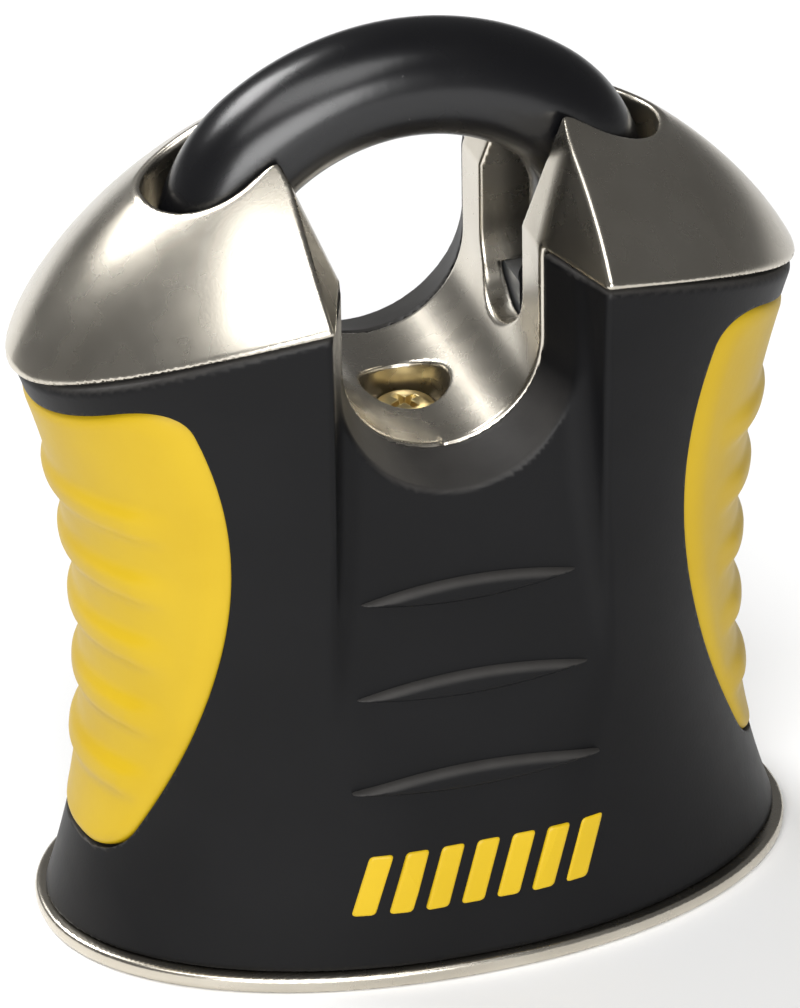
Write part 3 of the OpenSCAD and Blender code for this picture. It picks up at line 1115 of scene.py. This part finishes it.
@dataclass
class Shackle:
    """The bent bar: two legs, two shoulders and a crown, with its locking cuts."""

    bar_r: float = 6.25
    leg_x: float = 20.84
    bow_z: float = 79.6
    side_r: float = 14.0
    heel_z: float = 8.0
    toe_z: float = 36.8
    ball_x: float = 13.2
    ball_z: float = 42.2
    notch_r: float = 4.2
    flat_low: float = 9.2
    flat_high: float = 65.5
    flat_depth: float = 2.85
    neck_r: float = 3.4
    neck_h: float = 3.0
    spring_r: float = 2.2
    spring_depth: float = 20.0
    end_round: float = 1.2
    cut_round: float = 0.3
    flat_round: float = 0.4
    cell: float = 0.4
    space: Space = ((-28, -7.5, 7), (28, 7.5, 103))

    def bar(self, x: Array, y: Array, z: Array) -> Array:
        """Distance from the plain bent bar.

        Args:
            x: across.
            y: depth.
            z: height.

        Returns:
            Signed distance, in mm.
        """
        side_x = self.leg_x - self.side_r
        crown_r = self.side_r + side_x * 5 / 3
        crown_z = self.bow_z - side_x * 4 / 3
        wide = np.abs(x)
        crown = np.hypot(x, z - crown_z) - crown_r
        side = np.hypot(wide - side_x, z - self.bow_z) - self.side_r
        on_crown = (z - crown_z) > wide * 4 / 3
        across = np.where(z < self.bow_z, wide - self.leg_x, np.where(on_crown, crown, side))
        return np.hypot(across, y) - self.bar_r

    def form(self, x: Array, y: Array, z: Array) -> Array:
        """Distance from the finished shackle.

        Args:
            x: across.
            y: depth.
            z: height.

        Returns:
            Signed distance, in mm.
        """
        bar = self.bar(x, y, z)
        end = np.where(x < 0, self.heel_z - z, self.toe_z - z)
        shape = soft_both(bar, end, self.end_round)
        notch = np.sqrt((np.abs(x) - self.ball_x) ** 2 + y * y + (z - self.ball_z) ** 2) - self.notch_r
        shape = soft_both(shape, -notch, self.cut_round)
        from_axis = np.hypot(x + self.leg_x, y)
        half_h = self.neck_h / 2
        neck = np.maximum(self.neck_r - from_axis, np.abs(z - self.flat_low - half_h) - half_h)
        neck = np.where(x < 0, neck, FAR)
        shape = soft_both(shape, -neck, self.cut_round)
        flat = np.maximum(x + self.leg_x + self.bar_r - self.flat_depth, self.flat_low - z)
        flat = np.maximum(flat, z - self.flat_high)
        shape = soft_both(shape, -flat, self.flat_round)
        spring = np.maximum(from_axis - self.spring_r, z - self.spring_depth)
        return np.maximum(shape, -spring)

    def build(self) -> None:
        """Makes and installs the shackle."""
        piece = carve("shackle_bar", self.form, self.space, self.cell)
        fit_out(piece, Finish.COAT, "shackle", "shackle")


# ----- Base plate and screws -----


@dataclass
class BasePlate:
    """Plated base with a rounded edge, the key hole and two countersinks."""

    half_w: float = 42.3
    half_d: float = 26.4
    power: float = 2.1
    thick: float = 1.9
    hole_r: float = 7.7
    screw_x: float = 30.4
    head_r: float = 3.1
    shank_r: float = 1.6
    sink_room: float = 0.15
    foot_round: float = 0.8
    top_round: float = 0.6
    hole_round: float = 0.4
    cell: float = 0.42
    space: Space = ((-44, -28, -1), (44, 28, 3))

    def form(self, x: Array, y: Array, z: Array) -> Array:
        """Distance from the plate.

        Args:
            x: across.
            y: depth.
            z: height.

        Returns:
            Signed distance, in mm.
        """
        edge = oval(x, y, self.half_w, self.half_d, self.power)
        shape = soft_both(edge, -z, self.foot_round)
        shape = soft_both(shape, z - self.thick, self.top_round)
        shape = soft_both(shape, self.hole_r - np.hypot(x, y), self.hole_round)
        from_screw = np.hypot(np.abs(x) - self.screw_x, y)
        sink_r = np.clip(self.head_r + self.sink_room - z, self.shank_r, self.head_r)
        return np.maximum(shape, sink_r - from_screw)

    def build(self) -> None:
        """Makes and installs the plate."""
        piece = carve("foot_plate", self.form, self.space, self.cell)
        fit_out(piece, Finish.NICKEL, "body", "base_plate")


class Head(Enum):
    """The two kinds of screw head."""

    PAN = "pan, its recess facing up"
    SUNK = "countersunk, its recess facing down"


@dataclass
class CrossScrew:
    """A screw with a tapered cross recess."""

    head: Head
    head_r: float
    head_h: float
    shank_r: float
    length: float
    arm: float
    arm_w: float
    depth: float
    sink_slope: float = 0.75
    crown: float = 1.6
    rim_round: float = 0.7
    top_round: float = 0.3
    under: float = 0.05
    shank_in: float = 0.3
    arm_taper: float = 0.55
    width_taper: float = 0.35
    root_round: float = 0.25
    mouth_round: float = 0.12
    margin: float = 0.5
    tip_room: float = 0.2
    cell: float = 0.13

    def form(self, x: Array, y: Array, z: Array) -> Array:
        """Distance from the screw, its seat at height 0 and its head above it.

        Args:
            x: across.
            y: depth.
            z: height.

        Returns:
            Signed distance, in mm.
        """
        away = np.hypot(x, y)
        if self.head is Head.SUNK:
            head = (away - self.shank_r - np.maximum(z, 0.0)) * self.sink_slope
            head = np.maximum(head, away - self.head_r)
        else:
            drop = self.head_r * self.crown
            dome = np.sqrt(away ** 2 + (z + drop) ** 2) - (drop + self.head_h)
            head = soft_both(away - self.head_r, dome, self.rim_round)
        head = soft_both(np.maximum(head, -z - self.under), z - self.head_h, self.top_round)
        half_l = self.length / 2
        shank = np.maximum(away - self.shank_r, np.abs(z + half_l - self.shank_in) - half_l)
        down = np.clip((self.head_h - z) / self.depth, 0.0, 1.0)
        arm = self.arm * (1.0 - self.arm_taper * down)
        half = self.arm_w * (1.0 - self.width_taper * down)
        first = np.maximum(np.abs(x) - arm, np.abs(y) - half)
        second = np.maximum(np.abs(y) - arm, np.abs(x) - half)
        cross = np.maximum(soft_join(first, second, self.root_round), self.head_h - self.depth - z)
        return soft_both(np.minimum(head, shank), -cross, self.mouth_round)

    def make(self, name: str) -> bpy.types.Object:
        """Makes the screw at the origin, its seat at height 0.

        Args:
            name: the object's name.

        Returns:
            The screw.
        """
        reach = self.head_r + self.margin
        space = ((-reach, -reach, self.tip_room - self.length), (reach, reach, self.head_h + self.margin))
        piece = carve(name, self.form, space, self.cell)
        if self.head is Head.SUNK:
            piece.data.transform(Matrix.Rotation(math.pi, 4, "X"))
        return piece


class GeometryTree:
    """A Geometry Nodes tree with named inputs that ends in realised, painted geometry."""

    def __init__(self, name: str, finish: Finish, sockets: dict[str, str]) -> None:
        """Starts the tree.

        Args:
            name: the tree's name.
            finish: the material that it sets.
            sockets: the type of each input, by name.
        """
        self.tree = bpy.data.node_groups.new(name, "GeometryNodeTree")
        self.finish = finish
        face = self.tree.interface
        self.inputs = {}
        for socket, kind in sockets.items():
            made = face.new_socket(socket, in_out="INPUT", socket_type=f"NodeSocket{kind}")
            self.inputs[socket] = made.identifier
        face.new_socket("Geometry", in_out="OUTPUT", socket_type="NodeSocketGeometry")
        self.entry = self.add("NodeGroupInput", {}).outputs

    def add(self, kind: str, inputs: dict[str, Any]) -> bpy.types.Node:
        """Adds a node.

        Args:
            kind: the node's type.
            inputs: by socket name, each a value or a socket.

        Returns:
            The node.
        """
        node = self.tree.nodes.new(kind)
        for name, value in inputs.items():
            if isinstance(value, bpy.types.NodeSocket):
                self.tree.links.new(value, node.inputs[name])
            else:
                node.inputs[name].default_value = value
        return node

    def close(self, geometry: bpy.types.NodeSocket) -> None:
        """Realises the geometry, paints it and sends it out.

        Args:
            geometry: what the tree has made.
        """
        real = self.add("GeometryNodeRealizeInstances", {"Geometry": geometry})
        paint = {"Geometry": real.outputs["Geometry"], "Material": self.finish.material()}
        painted = self.add("GeometryNodeSetMaterial", paint)
        self.add("NodeGroupOutput", {"Geometry": painted.outputs["Geometry"]})

    def run(self, piece: bpy.types.Object, values: dict[str, Any]) -> None:
        """Runs the tree on a piece and keeps the result as a plain mesh.

        Args:
            piece: what the tree works on; it holds the result.
            values: each input's value, by name.
        """
        change = piece.modifiers.new("tree", "NODES")
        change.node_group = self.tree
        for name, value in values.items():
            change[self.inputs[name]] = value
        freeze(piece)


class RepeatTree(GeometryTree):
    """A tree that repeats one piece along a line."""

    def __init__(self, name: str, finish: Finish) -> None:
        """Builds the tree.

        Args:
            name: the tree's name.
            finish: the material that it sets.
        """
        kinds = {"Geometry": "Geometry", "Count": "Int", "Start": "Vector", "Pitch": "Vector"}
        super().__init__(name, finish, kinds)
        entry = self.entry
        steps = {"Count": entry["Count"], "Start Location": entry["Start"], "Offset": entry["Pitch"]}
        line = self.add("GeometryNodeMeshLine", steps)
        line.mode = "OFFSET"
        copies = {"Points": line.outputs["Mesh"], "Instance": entry["Geometry"]}
        self.close(self.add("GeometryNodeInstanceOnPoints", copies).outputs["Instances"])

    def repeat(self, piece: bpy.types.Object, count: int, start: Vector, pitch: Vector) -> None:
        """Repeats a piece so many times, from a start and by a pitch in mm."""
        self.run(piece, {"Count": count, "Start": tuple(start * MM), "Pitch": tuple(pitch * MM)})


@dataclass
class Screws:
    """The saddle screw and the two base screws."""

    saddle_z: float = 54.8
    saddle_turn: float = 25.0
    base_x: float = 30.4
    base_z: float = 1.65

    def build_saddle(self) -> None:
        """Makes and installs the saddle screw."""
        screw = CrossScrew(
            Head.PAN, head_r=3.5, head_h=2.5, shank_r=2.0, length=6.6, arm=1.9, arm_w=0.42, depth=1.5
        )
        piece = screw.make("saddle_cross_screw")
        spin = Matrix.Rotation(math.radians(self.saddle_turn), 4, "Z")
        piece.data.transform(Matrix.Translation((0, 0, self.saddle_z * MM)) @ spin)
        fit_out(piece, Finish.ZINC, "body", "saddle_screw")

    def build_base(self) -> None:
        """Makes and installs the two base screws as one piece."""
        screw = CrossScrew(
            Head.SUNK, head_r=3.0, head_h=1.5, shank_r=1.5, length=8.6, arm=1.5, arm_w=0.35, depth=0.9
        )
        piece = screw.make("base_cross_screws")
        tree = RepeatTree("base_screw_repeat", Finish.SCREW)
        tree.repeat(piece, 2, Vector((-self.base_x, 0.0, self.base_z)), Vector((2 * self.base_x, 0.0, 0.0)))
        fit_out(piece, Finish.SCREW, "body", "base_screws")


# ----- Inlay -----


@dataclass
class Inlay:
    """A row of plain slanted bars let into the lower front."""

    jacket: Jacket
    bars: int = 7
    pitch: float = 4.0
    low_z: float = 8.6
    high_z: float = 15.8
    half_w: float = 1.3
    slant: float = 1.1
    out: float = 0.2
    depth: float = 0.8
    bar_slope: float = 0.92
    end_round: float = 0.5
    face_round: float = 0.35
    cell: float = 0.16
    space: Space = ((-17, -26.5, 7.5), (17, -21, 17))

    def form(self, x: Array, y: Array, z: Array) -> Array:
        """Distance from the row of bars, cut to the jacket's own surface.

        Args:
            x: across.
            y: depth.
            z: height.

        Returns:
            Signed distance, in mm.
        """
        middle = (self.low_z + self.high_z) / 2
        lean = self.slant / (self.high_z - middle)
        shifted = x + (middle - z) * lean
        nearest = np.clip(np.round(shifted / self.pitch), -(self.bars // 2), self.bars // 2)
        bar = (np.abs(shifted - nearest * self.pitch) - self.half_w) * self.bar_slope
        bar = soft_both(bar, np.abs(z - middle) - (self.high_z - middle), self.end_round)
        wall = self.jacket.body.form(x, y, z)
        face = np.maximum(wall, -(self.jacket.panel(z) + y))
        shape = soft_both(bar, face - self.out, self.face_round)
        return np.maximum(shape, -(face + self.depth))

    def build(self) -> None:
        """Makes and installs the inlay."""
        piece = carve("front_bars", self.form, self.space, self.cell)
        fit_out(piece, Finish.INLAY, "body", "inlay")


# ----- Springs -----


class CoilTree(GeometryTree):
    """A tree that winds a wire into a coil spring along Z."""

    def __init__(self, finish: Finish, turn_steps: int = 18, wire_steps: int = 10) -> None:
        """Builds the tree.

        Args:
            finish: the material that it sets.
            turn_steps: straight runs in a turn.
            wire_steps: sides of the wire.
        """
        names = ("Turns", "Radius", "Length", "Wire")
        super().__init__("coil_spring", finish, dict.fromkeys(names, "Float"))
        entry = self.entry
        coil = {"Resolution": turn_steps, "Rotations": entry["Turns"], "Height": entry["Length"]}
        spiral = self.add("GeometryNodeCurveSpiral", coil)
        for end in ("Start Radius", "End Radius"):
            self.tree.links.new(entry["Radius"], spiral.inputs[end])
        round_wire = {"Resolution": wire_steps, "Radius": entry["Wire"]}
        section = self.add("GeometryNodeCurvePrimitiveCircle", round_wire)
        rails = {"Curve": spiral.outputs["Curve"], "Profile Curve": section.outputs["Curve"]}
        sweep = self.add("GeometryNodeCurveToMesh", {**rails, "Fill Caps": True})
        self.close(sweep.outputs["Mesh"])

    def wind(self, name: str, turns: float, radius: float, length: float, wire: float) -> bpy.types.Object:
        """Winds one spring.

        Args:
            name: the object's name.
            turns: number of turns.
            radius: from the axis to the wire's centre, in mm.
            length: over the whole spring, in mm.
            wire: the wire's radius, in mm.

        Returns:
            The spring, its first wire centre level with the origin.
        """
        piece = plain_mesh(name, np.zeros((0, 3)), [])
        rise = (length - 2 * wire) * MM
        self.run(piece, {"Turns": turns, "Radius": radius * MM, "Length": rise, "Wire": wire * MM})
        piece.data.shade_smooth()
        return piece


@dataclass
class Springs:
    """The pin springs and the shackle's pop-up spring."""

    heel_x: float = -20.84
    heel_z: float = 3.0
    heel_turns: float = 9.0
    heel_r: float = 1.5
    heel_l: float = 16.0
    heel_wire: float = 0.3
    pins: int = 6
    pin_pitch: float = 4.0
    pin_z: float = 8.0
    pin_y: float = 10.1
    pin_turns: float = 4.0
    pin_r: float = 0.95
    pin_l: float = 4.7
    pin_wire: float = 0.2

    def build(self) -> None:
        """Makes and installs both nodes."""
        tree = CoilTree(Finish.SPRING)
        heel = tree.wind("heel_spring", self.heel_turns, self.heel_r, self.heel_l, self.heel_wire)
        heel.data.transform(Matrix.Translation((self.heel_x * MM, 0, (self.heel_z + self.heel_wire) * MM)))
        fit_out(heel, Finish.SPRING, "body", "shackle_spring")
        stack = tree.wind("stack_springs", self.pin_turns, self.pin_r, self.pin_l, self.pin_wire)
        stack.data.transform(Matrix.Rotation(-math.pi / 2, 4, "X"))
        start = Vector((0.0, self.pin_y + self.pin_wire, self.pin_z))
        repeat = RepeatTree("pin_spring_repeat", Finish.SPRING)
        repeat.repeat(stack, self.pins, start, Vector((0.0, 0.0, self.pin_pitch)))
        fit_out(stack, Finish.SPRING, "body", "pin_springs")


# ----- Pieces that keep their CAD shape -----


@dataclass
class LockWorks:
    """The hidden pieces whose CAD shape is already exact."""

    nodes: dict[str, bpy.types.Object]
    steel: tuple[str, ...] = ("core",)
    brass: tuple[str, ...] = ("cylinder_shell", "plug", "chamber_strip")
    pins: tuple[str, ...] = ("key_pins", "driver_pins")
    hard: tuple[str, ...] = ("cam", "plug_clip", "heel_stop_pin")
    balls: tuple[str, ...] = ("ball_left", "ball_right")

    def build(self) -> None:
        """Gives each CAD node its material."""
        self.paint(self.steel, Finish.STEEL)
        self.paint(self.brass, Finish.BRASS)
        self.paint(self.pins, Finish.PIN_BRASS)
        self.paint(self.hard, Finish.HARD_STEEL)
        self.paint(self.balls, Finish.BALL)

    def paint(self, names: Sequence[str], finish: Finish) -> None:
        """Puts one finish in every material slot of some nodes.

        Args:
            names: the nodes.
            finish: their finish.
        """
        for name in names:
            for slot in self.nodes[name].material_slots:
                slot.material = finish.material()
            LOG.info("dressed %s", name)


# ----- Studio -----


@dataclass(frozen=True)
class SoftBox:
    """A soft rectangular light that faces the padlock."""

    name: str
    place: Triple
    size: tuple[float, float]
    watts: float
    aim: Triple = (0.0, 0.0, 0.05)

    def build(self) -> None:
        """Adds the light."""
        data = bpy.data.lights.new(self.name, "AREA")
        data.shape = "RECTANGLE"
        data.size, data.size_y = self.size
        data.energy = self.watts
        light = bpy.data.objects.new(self.name, data)
        light.location = self.place
        light.rotation_mode = "QUATERNION"
        light.rotation_quaternion = (Vector(self.place) - Vector(self.aim)).to_track_quat("Z", "Y")
        bpy.context.scene.collection.objects.link(light)


@dataclass
class Studio:
    """Pale floor, soft lights and the camera."""

    azimuth: float = -17.6367
    elevation: float = 29.7777
    distance: float = 0.9965
    roll: float = -0.9069
    target: Triple = (-0.0002246, 0.0015256, 0.0434909)
    lens: float = 329.51
    sensor: float = 36.0
    far: float = 20.0
    floor_half: float = 4.0
    floor_pale: float = 0.93
    floor_rough: float = 0.9
    room: Triple = (0.62, 0.62, 0.63)
    room_strength: float = 0.20
    lights: tuple[SoftBox, ...] = (
        SoftBox("front_box", (-0.30, -1.10, 0.42), (0.9, 0.6), 15.0),
        SoftBox("over_box", (-0.25, -0.40, 0.95), (0.9, 0.5), 6.0),
        SoftBox("back_box", (-0.45, 0.55, 0.75), (0.5, 0.4), 8.0),
    )

    def place_camera(self) -> None:
        """Adds the camera and makes it the scene's."""
        az, el = math.radians(self.azimuth), math.radians(self.elevation)
        away = Vector((math.sin(az) * math.cos(el), -math.cos(az) * math.cos(el), math.sin(el)))
        data = bpy.data.cameras.new("studio_camera")
        data.lens = self.lens
        data.sensor_width = self.sensor
        data.clip_end = self.far
        camera = bpy.data.objects.new("studio_camera", data)
        bpy.context.scene.collection.objects.link(camera)
        tilt = Matrix.Rotation(math.radians(self.roll), 4, "Z").to_quaternion()
        camera.rotation_mode = "QUATERNION"
        camera.rotation_quaternion = away.to_track_quat("Z", "Y") @ tilt
        camera.location = Vector(self.target) + away * self.distance
        bpy.context.scene.camera = camera

    def lay_floor(self) -> None:
        """Adds the floor and the room's even light."""
        half = self.floor_half / MM
        corners = np.array([[-half, -half, 0], [half, -half, 0], [half, half, 0], [-half, half, 0]])
        floor = plain_mesh("studio_floor", corners, [[0, 1, 2, 3]])
        pale = (self.floor_pale, self.floor_pale, self.floor_pale, 1.0)
        paper = NodeBench("studio_paper").finish({"Base Color": pale, "Roughness": self.floor_rough})
        floor.data.materials.append(paper)
        world = bpy.data.worlds.new("studio_room")
        world.use_nodes = True
        background = world.node_tree.nodes["Background"].inputs
        background["Color"].default_value = (*self.room, 1.0)
        background["Strength"].default_value = self.room_strength
        bpy.context.scene.world = world
        bpy.context.scene.view_settings.view_transform = "Standard"

    def build(self) -> None:
        """Sets the whole stage."""
        self.lay_floor()
        for light in self.lights:
            light.build()
        self.place_camera()


def main() -> None:
    """Builds every piece, dresses the hidden ones and sets the stage."""
    logging.basicConfig(level=logging.INFO, format="%(name)s: %(message)s")
    body = BodyOutline()
    outline = GripOutline()
    saddle = Saddle()
    jacket = Jacket(body, outline, saddle)
    jacket.build()
    Shroud(body, saddle).build()
    Shackle().build()
    for side in (-1, 1):
        Grip(body, outline, side).build()
    BasePlate().build()
    screws = Screws()
    screws.build_saddle()
    screws.build_base()
    Inlay(jacket).build()
    Springs().build()
    LockWorks(frame["nodes"]).build()
    Studio().build()


if __name__ == "__main__":
    main()
